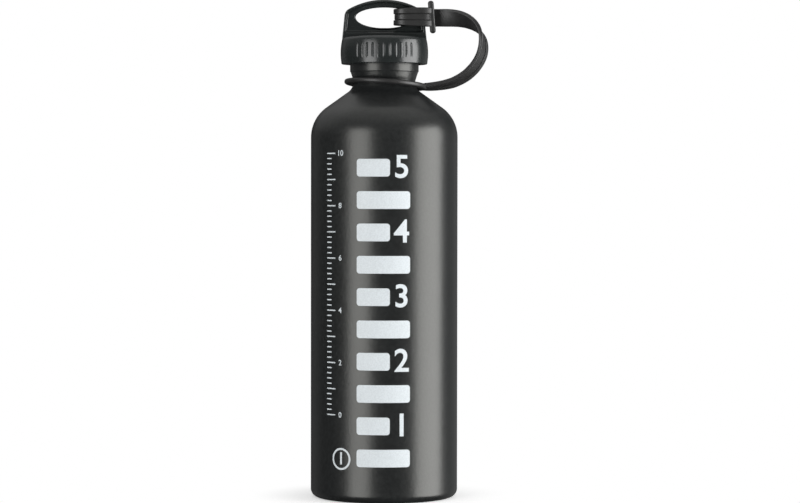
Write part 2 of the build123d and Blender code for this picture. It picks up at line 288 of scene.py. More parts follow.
def rounded(corners, closed=False, steps=7):
    """Profile through (x, z, radius) corners, as straight runs with arcs tangent to both.

    An arc's centre lies on the corner's bisector at radius / sin(half the corner's angle). A guard point a
    little beyond each end of an arc keeps the flat beside it flat when it is shaded smooth.
    """
    corners = np.array(corners, float)
    places, radii = corners[:, :2], corners[:, 2]
    pieces = []
    for index, radius in enumerate(radii):
        here = places[index]
        if radius <= 0 or (not closed and index in (0, len(places) - 1)):
            pieces.append(here[None])
            continue
        back = places[index - 1] - here
        ahead = places[(index + 1) % len(places)] - here
        back_length, ahead_length = np.linalg.norm(back), np.linalg.norm(ahead)
        back, ahead = back / back_length, ahead / ahead_length
        half = math.acos(np.clip(back @ ahead, -1, 1)) / 2
        reach = radius / math.tan(half)
        middle = back + ahead
        centre = here + middle / np.linalg.norm(middle) * radius / math.sin(half)
        enter, leave = here + back * reach - centre, here + ahead * reach - centre
        first = math.atan2(enter[1], enter[0])
        swing = math.remainder(math.atan2(leave[1], leave[0]) - first, TURN)
        turn = first + swing * np.linspace(0, 1, steps)
        bend = arc(centre, radius, turn)
        before = bend[0] + back * min(GUARD * radius, GUARD * max(back_length - reach, 0))
        after = bend[-1] + ahead * min(GUARD * radius, GUARD * max(ahead_length - reach, 0))
        pieces += [before[None], bend, after[None]]
    return np.concatenate(pieces)


def filled(profile, gap):
    """The same profile with extra points, so that no two neighbours lie further apart than gap."""
    step = np.linalg.norm(np.diff(profile, axis=0), axis=1)
    count = np.maximum(np.ceil(step / gap).astype(int), 1)
    start = np.repeat(np.arange(len(step)), count)
    within = np.concatenate([np.arange(n) / n for n in count])
    points = profile[start] + (profile[start + 1] - profile[start]) * within[:, None]
    return np.concatenate([points, profile[-1:]])


def grid_faces(rows, columns, close_rows=False, close_columns=False):
    """Quads of a grid of points, row by row; a closed direction also joins its last line to its first."""
    row = np.arange(rows if close_rows else rows - 1)[:, None]
    column = np.arange(columns if close_columns else columns - 1)[None, :]
    up, across = (row + 1) % rows, (column + 1) % columns
    corners = (row * columns + column, row * columns + across, up * columns + across, up * columns + column)
    return np.stack(np.broadcast_arrays(*corners), axis=-1).reshape(-1, 4)


def new_piece(name, points, faces, materials, merge=MERGE, sharp=40.0, marks=None):
    """Makes an object from points and faces; marks gives each face's material.

    Points closer than merge become one, so poles and seams close, and edges bent by more than sharp degrees
    stay crisp while the rest is shaded smooth.
    """
    mesh = bpy.data.meshes.new(name)
    mesh.from_pydata(points.tolist(), [], faces)
    for material in materials:
        mesh.materials.append(material)
    if marks is not None:
        mesh.polygons.foreach_set("material_index", np.asarray(marks, np.int32))
    work = bmesh.new()
    work.from_mesh(mesh)
    bmesh.ops.remove_doubles(work, verts=work.verts, dist=merge)
    bmesh.ops.recalc_face_normals(work, faces=work.faces)
    work.to_mesh(mesh)
    work.free()
    mesh.polygons.foreach_set("use_smooth", np.ones(len(mesh.polygons), bool))
    mesh.set_sharp_from_angle(angle=math.radians(sharp))
    mesh.update()
    piece = bpy.data.objects.new(name, mesh)
    bpy.context.scene.collection.objects.link(piece)
    return piece


def put(name, points, faces, materials, body, marks=None, sharp=40.0):
    """Makes a moulded piece from the points and quads of a grid, on a body if one is named."""
    points = np.reshape(points, (-1, 3))
    piece = new_piece(name, points, np.asarray(faces).tolist(), materials, sharp=sharp, marks=marks)
    if body:
        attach(piece, body)
    return piece


def joined(shells):
    """Several (points, faces) shells as one pair, each shell's faces counted on from the last."""
    starts = np.cumsum([0] + [len(np.reshape(points, (-1, 3))) for points, _ in shells[:-1]])
    points = np.concatenate([np.reshape(points, (-1, 3)) for points, _ in shells])
    faces = np.concatenate([np.asarray(faces) + start for (_, faces), start in zip(shells, starts)])
    return points, faces


def turned(profile, segments, swell=None):
    """A profile of (radius, height) turned about the bottle's axis.

    Point (i, j) is (r cos a, r sin a, z) with a = j / segments of a turn. swell(radius, height, a) may change
    the radius, which is how a thread is cut.
    """
    turn = np.arange(segments) / segments * TURN
    radius = np.repeat(profile[:, :1], segments, axis=1)
    height = np.repeat(profile[:, 1:], segments, axis=1)
    if swell is not None:
        radius = swell(radius, height, turn[None, :])
    return around(radius, turn, height), grid_faces(len(profile), segments, close_columns=True)


def smooth_step(value):
    """0 below 0, 1 above 1 and 3t^2 - 2t^3 between."""
    value = np.clip(value, 0, 1)
    return value * value * (3 - 2 * value)


def helix_wave(height, turn, pitch, start):
    """Right-handed helix as a wave from 0 to 1: it depends on height / pitch minus the turn's share."""
    phase = np.mod((height - start) / pitch - turn / TURN, 1.0)
    return smooth_step(1.6 - 5.2 * np.abs(phase - 0.5))


# ---- shader formulas ----


class Socket:
    """One output of a shader node. Arithmetic on it adds Math nodes to its tree."""

    def __init__(self, finish, output):
        self.finish = finish
        self.output = output

    def maths(self, operation, *terms):
        return self.finish.add("ShaderNodeMath", {"operation": operation}, dict(enumerate(terms)))

    def __add__(self, other):
        return self.maths("ADD", self, other)

    def __radd__(self, other):
        return self.maths("ADD", other, self)

    def __sub__(self, other):
        return self.maths("SUBTRACT", self, other)

    def __rsub__(self, other):
        return self.maths("SUBTRACT", other, self)

    def __mul__(self, other):
        return self.maths("MULTIPLY", self, other)

    def __rmul__(self, other):
        return self.maths("MULTIPLY", other, self)


class Finish:
    """A node tree that is being written, of a material or of the world."""

    def __init__(self, owner):
        owner.use_nodes = True
        self.owner = owner
        self.tree = owner.node_tree
        self.tree.nodes.clear()

    def add(self, kind, settings=None, sockets=None, output=0):
        """Adds one node, its settings first and then its sockets' values or links, and gives one output."""
        node = self.tree.nodes.new(kind)
        for name, value in (settings or {}).items():
            setattr(node, name, value)
        for key, value in (sockets or {}).items():
            if isinstance(value, Socket):
                self.tree.links.new(value.output, node.inputs[key])
            else:
                node.inputs[key].default_value = value
        return Socket(self, node.outputs[output]) if len(node.outputs) else None

    def place(self):
        """Object coordinates, in metres."""
        return self.add("ShaderNodeTexCoord", output=3)

    def noise(self, width, detail=2.0, place=None):
        """Noise from 0 to 1 whose blotches are about width metres across."""
        sockets = {"Vector": place or self.place(), "Scale": 1 / width, "Detail": detail}
        return self.add("ShaderNodeTexNoise", sockets=sockets)

    def vary(self, middle, *parts):
        """A value about middle; each part is a noise and how far it moves the value from end to end."""
        for noise, span in parts:
            middle = middle + span * (noise - 0.5)
        return middle

    def steps(self, value, low, high):
        """Smooth rise from 0 at low to 1 at high."""
        return self.add(
            "ShaderNodeMapRange",
            {"interpolation_type": "SMOOTHSTEP"},
            {"Value": value, "From Min": low, "From Max": high},
        )

    def blend(self, factor, first, second):
        """Colour between first and second."""
        return self.add("ShaderNodeMix", {"data_type": "RGBA"}, {0: factor, 6: first, 7: second}, output=2)

    def bump(self, height, distance):
        """Normal bent by a height from 0 to 1 that stands for distance metres."""
        return self.add("ShaderNodeBump", sockets={"Height": height, "Distance": distance, "Strength": 1.0})

    def white(self, kind, strength):
        """A white Emission or Background of the given strength."""
        return self.add(kind, sockets={"Color": WHITE, "Strength": strength})

    def skin(self, sockets):
        """Principled surface to the output."""
        shader = self.add("ShaderNodeBsdfPrincipled", sockets=sockets)
        self.add("ShaderNodeOutputMaterial", sockets={"Surface": shader})
        return self.owner


def rgba(value, gain=1.0):
    """A colour property as a socket's four numbers, made lighter or darker by gain."""
    return (value[0] * gain, value[1] * gain, value[2] * gain, 1.0)


def material(name, shown):
    """A new material with the colour that the solid view shows."""
    made = bpy.data.materials.new(name)
    made.diffuse_color = shown
    return Finish(made)


def powder_coat(settings):
    """Matt black powder coat: fine pebbled grain, faint mottling and slightly worn sheen."""
    finish = material("powder_coat", rgba(settings.coat))
    grain = finish.noise(settings.grain, detail=1.5)
    mottle = finish.noise(settings.grain * 3.2, detail=2.0)
    cloud = finish.noise(settings.grain * 45, detail=2.0)
    base = finish.blend(finish.steps(mottle, 0.3, 0.7), rgba(settings.coat, 0.85), rgba(settings.coat, 1.15))
    rough = finish.vary(0.31, (grain, 0.05), (mottle, 0.06), (cloud, 0.04))
    normal = finish.bump(grain * 0.6 + mottle * 1.2, 0.036 * MM)
    sheen = {"Specular IOR Level": 0.5, "Specular Tint": (1.0, 1.0, 0.955, 1)}
    return finish.skin({"Base Color": base, "Roughness": rough, "Normal": normal} | sheen)


def bare_aluminium():
    """Drawn aluminium inside the bottle, with faint rings left by the tool."""
    finish = material("bare_aluminium", (0.6, 0.6, 0.61, 1))
    axes = finish.add("ShaderNodeSeparateXYZ", sockets={"Vector": finish.place()}, output=2)
    squeezed = finish.add("ShaderNodeCombineXYZ", sockets={"Z": axes})
    rings = finish.noise(0.5 * MM, detail=3.0, place=squeezed)
    cloud = finish.noise(9 * MM, detail=3.0)
    base = finish.blend(cloud, (0.56, 0.565, 0.57, 1), (0.68, 0.68, 0.685, 1))
    rough = 0.28 + 0.12 * rings
    normal = finish.bump(rings, 0.02 * MM)
    return finish.skin({"Base Color": base, "Metallic": 1.0, "Roughness": rough, "Normal": normal})


def printed_ink(settings):
    """Pale screen-printed ink: a little of the coat's grain shows through."""
    finish = material("printed_ink", rgba(settings.ink))
    grain = finish.noise(0.6 * MM, detail=2.0)
    cloud = finish.noise(7 * MM, detail=2.0)
    base = finish.blend(finish.steps(grain, 0.35, 0.65), rgba(settings.ink, 0.93), rgba(settings.ink, 1.04))
    rough = finish.vary(0.5, (cloud, 0.1))
    normal = finish.bump(grain, 0.02 * MM)
    return finish.skin({"Base Color": base, "Roughness": rough, "Normal": normal})


def cap_plastic(settings):
    """Semi-gloss moulded plastic with a faint spark-eroded texture and small flow marks."""
    finish = material("cap_plastic", rgba(settings.plastic))
    spark = finish.noise(0.35 * MM, detail=1.0)
    flow = finish.noise(6 * MM, detail=3.0)
    base = finish.blend(flow, rgba(settings.plastic, 0.9), rgba(settings.plastic, 1.1))
    rough = finish.vary(0.235, (spark, 0.04), (flow, 0.05))
    normal = finish.bump(spark * 0.4 + flow, 0.008 * MM)
    return finish.skin({"Base Color": base, "Roughness": rough, "Normal": normal, "Specular IOR Level": 0.55})


def satin_plastic():
    """Satin moulded plastic of the stopper."""
    finish = material("satin_plastic", (0.03, 0.03, 0.03, 1))
    spark = finish.noise(0.4 * MM, detail=1.0)
    flow = finish.noise(5 * MM, detail=3.0)
    base = finish.blend(flow, (0.02, 0.02, 0.02, 1), (0.032, 0.032, 0.032, 1))
    rough = finish.vary(0.42, (spark, 0.08))
    normal = finish.bump(spark, 0.012 * MM)
    return finish.skin({"Base Color": base, "Roughness": rough, "Normal": normal})


def strap_elastomer(settings):
    """Matte elastomer: dull sheen, fine skin and a few paler scuffs."""
    finish = material("strap_elastomer", rgba(settings.elastomer))
    skin = finish.noise(0.25 * MM, detail=1.0)
    cloud = finish.noise(4 * MM, detail=3.0)
    base = finish.blend(cloud, rgba(settings.elastomer, 0.85), rgba(settings.elastomer, 1.2))
    rough = finish.vary(0.43, (cloud, 0.1))
    normal = finish.bump(skin, 0.004 * MM)
    return finish.skin({"Base Color": base, "Roughness": rough, "Normal": normal, "Specular IOR Level": 0.55})


def seal_rubber():
    """Red-brown seal with a dull skin."""
    finish = material("seal_rubber", (0.35, 0.06, 0.04, 1))
    cloud = finish.noise(3 * MM, detail=3.0)
    base = finish.blend(cloud, (0.3, 0.05, 0.035, 1), (0.4, 0.075, 0.05, 1))
    rough = finish.vary(0.6, (cloud, 0.1))
    normal = finish.bump(finish.noise(0.3 * MM, detail=1.0), 0.01 * MM)
    return finish.skin({"Base Color": base, "Roughness": rough, "Normal": normal})


def spring_steel():
    """Bare rolled spring steel."""
    finish = material("spring_steel", (0.6, 0.6, 0.6, 1))
    streak = finish.noise(0.6 * MM, detail=4.0)
    base = finish.blend(streak, (0.5, 0.5, 0.5, 1), (0.62, 0.61, 0.6, 1))
    return finish.skin({"Base Color": base, "Metallic": 1.0, "Roughness": 0.25 + 0.15 * streak})


# ---- the bottle ----


def bottle_heights(s):
    """Heights of the shoulder's corner, the cone's top, the flare's ends and the rim."""
    body_radius = bottle_high[0]
    turn = math.pi / 2 - s.cone_angle
    shoulder = s.barrel_height + s.shoulder_radius * math.tan(turn / 2)
    cone = shoulder + (body_radius - s.neck_radius) * math.tan(s.cone_angle)
    flare = cone + s.throat_height
    return shoulder, cone, flare, flare + s.flare_height, bottle_high[2]


def dome(radius, rise, base, steps=20):
    """Arc of a shallow dome from its edge to the axis: circle of radius (radius^2 + rise^2) / (2 rise)."""
    ball = (radius**2 + rise**2) / (2 * rise)
    across = np.linspace(radius, 0, steps)
    return np.stack([across, base + rise - ball + np.sqrt(ball**2 - across**2)], axis=1)


class FUEL_OT_bottle(bpy.types.Operator):
    """Turns the bottle's profile, inside and out, and cuts the thread into its mouth"""

    bl_idname = "fuel.bottle"
    bl_label = "Bottle"

    def execute(self, context):
        s = context.scene.fuel_bottle
        body_radius = bottle_high[0]
        shoulder, cone, flare, collar, rim = bottle_heights(s)
        inner = body_radius - s.wall
        inner_bend = s.shoulder_radius - s.wall
        inner_corner = s.barrel_height + inner_bend * math.tan((math.pi / 2 - s.cone_angle) / 2)
        throat = rim - s.throat_depth
        bevel_foot = rim - 1.2 * MM
        groove_start, groove_fade = 1.5 * MM, 2 * MM
        mouth_zone, mouth_foot, mouth_opening = 0.9 * MM, 1.2 * MM, 0.3
        outside = rounded([
            (s.foot_inner_radius, 0, 0),
            (body_radius, 0, s.base_corner),
            (body_radius, shoulder, s.shoulder_radius),
            (s.neck_radius, cone, s.neck_fillet),
            (s.neck_radius, flare - s.flare_drop, 5.5 * MM),
            (s.collar_radius - s.crease, collar - 0.35 * MM, 0.12 * MM),
            (s.collar_radius, collar, 0.3 * MM),
            (s.collar_radius, rim, 0.8 * MM),
            (s.mouth_radius, rim, 0.5 * MM),
            (s.mouth_radius, bevel_foot, 0),
        ], steps=14)
        inside = rounded([
            (s.mouth_radius, bevel_foot, 0),
            (s.mouth_radius, throat, 1.0 * MM),
            (s.mouth_radius + 2 * MM, throat, 0.5 * MM),
            (inner, inner_corner, inner_bend),
            (inner, s.base_thickness, s.base_corner - s.wall),
            (s.foot_inner_radius, s.base_thickness, 0),
        ], steps=14)
        mouth = inside[:, 1] > throat
        inside = np.concatenate([filled(inside[mouth], 0.25 * MM), inside[~mouth]])
        under = dome(s.foot_inner_radius, s.dish_height, 0)[::-1]
        floor = dome(s.foot_inner_radius, s.dish_height, s.base_thickness)
        profile = np.concatenate([under[:-1], outside[:-1], inside[:-1], floor])

        def thread(radius, height, turn):
            """Widens the mouth by the helix's groove; it fades in above the throat, runs out at the rim."""
            low = smooth_step((height - throat - groove_start) / groove_fade)
            near = (radius < s.mouth_radius + mouth_zone) & (height > throat + mouth_foot)
            groove = helix_wave(height, turn, s.thread_pitch, 0) * low * s.thread_depth
            cut = s.mouth_radius + groove + mouth_opening * (radius - s.mouth_radius)
            return np.where(near, np.maximum(radius, cut), radius)

        points, faces = turned(profile, s.segments, thread)
        row = np.repeat(np.arange(len(profile) - 1), s.segments)
        bare = row >= len(under) - 1 + len(outside) - 1
        piece = put(
            "bottle_coated", points, faces, [powder_coat(s), bare_aluminium()], "bottle", bare
        )
        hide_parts("bottle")
        return {"FINISHED"}


# ---- the print ----

# Corner radius of a bar, the gap that centres a numeral beside a short bar, and the fine scale's measures.
BAR_CORNER = 1.6 * MM
NUMERAL_GAP = 0.9 * MM
LONG_TICK, SHORT_TICK, HALF_TICK = 6.4 * MM, 3.6 * MM, 0.32 * MM
LABEL_SHIFT, LABEL_HEIGHT = 9.6 * MM, 3.0 * MM
# A numeral's height as a share of its font size, and the spacing of the cuts that let it bend.
DIGIT_SHARE = 0.73
CUT_SPACING = 0.8 * MM
# Inner radius of the ring mark and height of its numeral, as shares of the ring's outer radius.
BADGE_INNER, BADGE_NUMERAL = 0.82, 1.15


def on_barrel(across, height, stand):
    """Wraps flat (across, height) points round the barrel's front, stand metres above the coat."""
    return around(bottle_high[0] + stand, across / bottle_high[0] - math.pi / 2, height)


def pill(left, right, low, high, thickness, radius=None, rings=8, columns=48):
    """A bar with round corners as a thin closed plate on the barrel.

    Its outline is a rounded rectangle; ring k of the face is that outline shrunk to k / rings about its
    middle, and the outer ring is carried down into the coat and the same way back to the middle underneath.
    """
    radius = (high - low) / 2 if radius is None else radius
    corners = ((left, low), (right, low), (right, high), (left, high))
    outline = rounded([(*corner, radius) for corner in corners], True, columns // 4)
    outline = filled(np.concatenate([outline, outline[:1]]), 1.2 * MM)[:-1]
    outline = outline[np.linalg.norm(outline - np.roll(outline, 1, axis=0), axis=1) > 1e-7]
    middle = np.array([(left + right) / 2, (low + high) / 2])
    shrink = np.linspace(0, 1, rings + 1)[:, None, None]
    face = middle + (outline - middle)[None] * shrink
    flat = np.concatenate([face, face[::-1]])
    stand = np.repeat([thickness, -thickness], rings + 1)[:, None]
    points = on_barrel(flat[..., 0], flat[..., 1], np.broadcast_to(stand, flat.shape[:2]))
    return points, grid_faces(len(flat), len(outline), close_columns=True)


def ring_mark(across, height, outer, inner, thickness, columns=72):
    """A printed ring: four circles, outer and inner edge on top and underneath, joined round."""
    turn = np.arange(columns) / columns * TURN
    rings = [(outer, thickness), (inner, thickness), (inner, -thickness), (outer, -thickness)]
    circles = [(arc((across, height), radius, turn), stand) for radius, stand in rings]
    points = np.stack([on_barrel(flat[:, 0], flat[:, 1], stand) for flat, stand in circles])
    return points, grid_faces(len(rings), columns, close_rows=True, close_columns=True)


def numeral(text, across, height, tall, thickness):
    """A numeral in the built-in font, cut into small faces and wrapped onto the barrel."""
    curve = bpy.data.curves.new("numeral", "FONT")
    curve.body = text
    curve.size = tall / DIGIT_SHARE
    curve.align_x, curve.align_y = "CENTER", "CENTER"
    curve.resolution_u = 6
    curve.offset = 0.02 * tall
    curve.extrude = thickness
    maker = bpy.data.objects.new("numeral", curve)
    bpy.context.scene.collection.objects.link(maker)
    flat = bpy.data.meshes.new_from_object(maker)
    bpy.data.objects.remove(maker)
    work = bmesh.new()
    work.from_mesh(flat)
    bmesh.ops.remove_doubles(work, verts=work.verts, dist=PRINT_MERGE)
    for cut in np.arange(-tall, tall, CUT_SPACING):
        for normal in ((1, 0, 0), (0, 1, 0)):
            everything = list(work.verts) + list(work.edges) + list(work.faces)
            place = tuple(cut * part for part in normal)
            bmesh.ops.bisect_plane(work, geom=everything, plane_co=place, plane_no=normal)
    bmesh.ops.triangulate(work, faces=work.faces)
    work.to_mesh(flat)
    work.free()
    points = np.empty(len(flat.vertices) * 3)
    flat.vertices.foreach_get("co", points)
    points = points.reshape(-1, 3)
    faces = np.empty(len(flat.polygons) * 3, np.int64)
    flat.polygons.foreach_get("vertices", faces)
    bpy.data.meshes.remove(flat)
    wrapped = on_barrel(across + points[:, 0], height + points[:, 1], points[:, 2])
    faces = faces.reshape(-1, 3)
    return wrapped, np.concatenate([faces, faces[:, 2:]], axis=1)


def plate_piece(name, shells, ink):
    """Puts printed shells on the bottle; the doubled last corner of a triangle is dropped."""
    points, faces = joined(shells)
    faces = [face[:3] if face[2] == face[3] else face for face in faces.tolist()]
    piece = new_piece(name, points, faces, [ink], PRINT_MERGE)
    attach(piece, "bottle")


class FUEL_OT_print(bpy.types.Operator):
    """Prints plain level bars with numerals, a fine scale and a ring mark on the barrel"""

    bl_idname = "fuel.print_marks"
    bl_label = "Printed marks"

    def execute(self, context):
        s = context.scene.fuel_print
        ink = printed_ink(s)
        bars, numerals = [], []
        for index in range(s.bar_count):
            middle = s.bar_first + index * s.bar_pitch
            has_numeral = index % 2 == 1
            reach = s.bar_short if has_numeral else s.bar_long
            low, high = middle - s.bar_height / 2, middle + s.bar_height / 2
            bars.append(pill(s.bar_left, s.bar_left + reach, low, high, s.thickness, BAR_CORNER))
            if has_numeral:
                across = (s.bar_left + s.bar_short + s.bar_left + s.bar_long) / 2 + NUMERAL_GAP
                numerals.append(numeral(str((index + 1) // 2), across, middle, s.numeral, s.thickness))
        plate_piece("print_level_bars", bars, ink)
        plate_piece("print_level_numerals", numerals, ink)
        ticks, small = [], []
        for index in range(s.tick_count):
            middle = s.tick_first + index * s.tick_pitch
            right = s.tick_left + (LONG_TICK if index % 5 == 0 else SHORT_TICK)
            low, high = middle - HALF_TICK, middle + HALF_TICK
            ticks.append(pill(s.tick_left, right, low, high, s.thickness, rings=2, columns=16))
            if index % 10 == 0:
                across = s.tick_left + LABEL_SHIFT
                small.append(numeral(str(index // 5), across, middle, LABEL_HEIGHT, s.thickness))
        plate_piece("print_fine_scale", ticks, ink)
        plate_piece("print_fine_numerals", small, ink)
        inner, tall = BADGE_INNER * s.badge_radius, BADGE_NUMERAL * s.badge_radius
        badge = [ring_mark(s.badge_left, s.badge_height, s.badge_radius, inner, s.thickness)]
        badge.append(numeral("1", s.badge_left, s.badge_height, tall, s.thickness))
        plate_piece("print_ring_mark", badge, ink)
        return {"FINISHED"}


# ---- the stopper ----


def ratchet(count, first, inner, outer, width, ramp, base, top):
    """Drive teeth round the axis: each a bar from inner to outer radius with one upright side and one ramp.

    width and the step from base to top may be negative, which turns the tooth over.
    """
    section = np.array([
        (-width / 2, base),
        (width / 2, base),
        (width / 2, top),
        (-width / 2 + math.copysign(ramp, width), top),
    ])
    turn = first + np.arange(count) / count * TURN
    along = np.array([inner, outer])
    x = along[None, :, None] * np.ones((count, 1, 4))
    y = section[:, 0][None, None, :] * np.ones((count, 2, 1))
    z = section[:, 1][None, None, :] * np.ones((count, 2, 1))
    cos, sin = np.cos(turn)[:, None, None], np.sin(turn)[:, None, None]
    points = np.stack([x * cos - y * sin, x * sin + y * cos, z], axis=-1)
    box = np.array([(0, 1, 2, 3), (7, 6, 5, 4), (0, 4, 5, 1), (1, 5, 6, 2), (2, 6, 7, 3), (3, 7, 4, 0)])
    faces = box[None] + 8 * np.arange(count)[:, None, None]
    return points, faces.reshape(-1, 4)


class FUEL_OT_stopper(bpy.types.Operator):
    """Turns the stopper's plug and flange, winds the thread round it and sets the drive teeth on top"""

    bl_idname = "fuel.stopper"
    bl_label = "Stopper"

    def execute(self, context):
        s = context.scene.fuel_stopper
        bottle = context.scene.fuel_bottle
        bottom = stopper_low[2]
        flange_radius = stopper_high[0]
        seal_top = seal_high[2]
        lip = seal_top - s.lip_depth
        flange_top = seal_top + s.flange_thickness
        seal_room = seal_high[0] + CLEARANCE
        hollow = s.plug_radius - s.plug_wall
        above = rounded([
            (hollow, seal_top, 1.2 * MM),
            (hollow, bottom, 0.5 * MM),
            (s.plug_radius - s.lead_in, bottom, 0.3 * MM),
            (s.plug_radius, bottom + s.lead_in, 0),
        ])
        core_top = seal_top - 0.5 * MM
        core = filled(np.array([(s.plug_radius, bottom + s.lead_in), (s.plug_radius, core_top)]), 0.25 * MM)
        rest = rounded([
            (s.plug_radius, core_top, 0),
            (s.plug_radius, seal_top, 0.3 * MM),
            (seal_room, seal_top, 0.3 * MM),
            (seal_room, lip, 0.3 * MM),
            (flange_radius, lip, 0.5 * MM),
            (flange_radius, flange_top, s.flange_edge),
            (0, flange_top, 0),
        ])
        top = np.array([(0, seal_top)])
        profile = np.concatenate([top, above[:-1], core[:-1], rest])

        def thread(radius, height, turn):
            """Raises the helix's crest on the plug's wall; it fades out towards both ends."""
            low = smooth_step((height - bottom - 0.5 * MM) / (1.8 * MM))
            high = smooth_step((bottle_high[2] - 2.2 * MM - height) / (1.5 * MM))
            near = np.abs(radius - s.plug_radius) < 0.01 * MM
            crest = helix_wave(height, turn, bottle.thread_pitch, 0)
            return radius + near * low * high * crest * (bottle.thread_depth - 0.05 * MM)

        plug = turned(profile, 160, thread)
        teeth = ratchet(
            s.tooth_count, 0, s.tooth_inner, s.tooth_outer, s.tooth_width, s.tooth_ramp,
            flange_top - 0.2 * MM, stopper_high[2],
        )
        points, faces = joined([plug, teeth])
        plastic = [satin_plastic()]
        piece = put("stopper_threaded", points, faces, plastic, "stopper", sharp=35)
        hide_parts("stopper")
        return {"FINISHED"}


class FUEL_OT_seal(bpy.types.Operator):
    """Turns the flat sealing ring with its rounded edges"""

    bl_idname = "fuel.seal"
    bl_label = "Sealing ring"

    def execute(self, context):
        stopper = context.scene.fuel_stopper
        inner, outer = stopper.plug_radius + CLEARANCE, seal_high[0]
        low, high, edge = seal_low[2], seal_high[2], 0.5 * MM
        corners = ((inner, low), (outer, low), (outer, high), (inner, high))
        section = rounded([(*corner, edge) for corner in corners], True)
        points, _ = turned(section, 144)
        faces = grid_faces(len(section), 144, close_rows=True, close_columns=True)
        piece = put("sealing_ring_moulded", points, faces, [seal_rubber()], "stopper")
        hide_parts("sealing_ring")
        return {"FINISHED"}


class FUEL_OT_spring(bpy.types.Operator):
    """Bends the wave washer: a flat strip whose height follows a cosine round the axis"""

    bl_idname = "fuel.spring"
    bl_label = "Return spring"

    def execute(self, context):
        s = context.scene.fuel_stopper
        half_width, half = s.spring_width / 2, s.spring_thickness / 2
        corners = ((-half_width, -half), (half_width, -half), (half_width, half), (-half_width, half))
        section = rounded([(*corner, 0.12 * MM) for corner in corners], True, 3)
        turn = np.arange(180) / 180 * TURN
        wave = (1 - np.cos(s.spring_waves * turn)) / 2
        low, high = spring_low[2] + half, spring_high[2] - half
        radius = s.spring_radius + section[:, 0][:, None]
        height = low + (high - low) * wave[None] + section[:, 1][:, None]
        points = around(radius, turn, height)
        faces = grid_faces(len(section), len(turn), close_rows=True, close_columns=True)
        steel = [spring_steel()]
        piece = put("return_spring_wave", points, faces, steel, "stopper", sharp=60)
        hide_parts("return_spring")
        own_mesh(piece)
        return {"FINISHED"}


# ---- the cap ----


def arch_outline(c, inset, bottom, corner):
    """Outline of the handle drawn in by inset: floor, corner, leaning leg, arc and crown, then mirrored.

    The leg is the line n.p = k with n tilted by the taper, the crown a circle under the arch's top, and the
    arc between them has its centre where both lie arch_corner further in, so it is the same for every inset.
    """
    deck = c.deck_height
    lean = math.atan2(c.taper, c.arch_rise)
    normal = np.array([math.cos(lean), math.sin(lean)])
    leg = normal @ (c.half_width, deck)
    crown_middle = np.array([0, deck + c.arch_rise - c.arch_radius])
    near, reach = leg - c.arch_corner, c.arch_radius - c.arch_corner
    along = np.array([-normal[1], normal[0]])
    start = normal * near - crown_middle
    slide = -(start @ along) + math.sqrt((start @ along) ** 2 - start @ start + reach**2)
    hinge = normal * near + along * slide
    foot_z = bottom + corner
    foot = np.array([(leg - inset - corner - normal[1] * foot_z) / normal[0], foot_z])
    floor = np.stack([np.linspace(0, foot[0], 20), np.full(20, bottom)], axis=1)
    turn = np.linspace(-math.pi / 2, lean, 8)
    foot_arc = arc(foot, corner, turn)
    leg_start, leg_end = foot_arc[-1], hinge + normal * (c.arch_corner - inset)
    rise = np.linspace(0, 1, 20)[:, None]
    leg_run = leg_start + (leg_end - leg_start) * rise
    outward = hinge - crown_middle
    finish = math.atan2(outward[1], outward[0])
    turn = np.linspace(lean, finish, 14)
    corner_arc = arc(hinge, c.arch_corner - inset, turn)
    turn = np.linspace(finish, math.pi / 2, 36)
    crown = arc(crown_middle, c.arch_radius - inset, turn)
    half = np.concatenate([floor[:-1], foot_arc[:-1], leg_run[:-1], corner_arc[:-1], crown])
    mirrored = half[-2:0:-1] * (-1, 1)
    return np.concatenate([half, mirrored])


def eye_towards(c, outline):
    """The eye's edge in the direction of each outline point: r = 1 / sqrt((cos/a)^2 + (sin/b)^2)."""
    middle = np.array([0, c.deck_height + c.eye_rise])
    away = unit(outline - middle)
    tall = np.where(away[:, 1] > 0, c.eye_upper, c.eye_lower)
    reach = 1 / np.sqrt((away[:, 0] / c.eye_half_width) ** 2 + (away[:, 1] / tall) ** 2)
    return middle + away * reach[:, None]


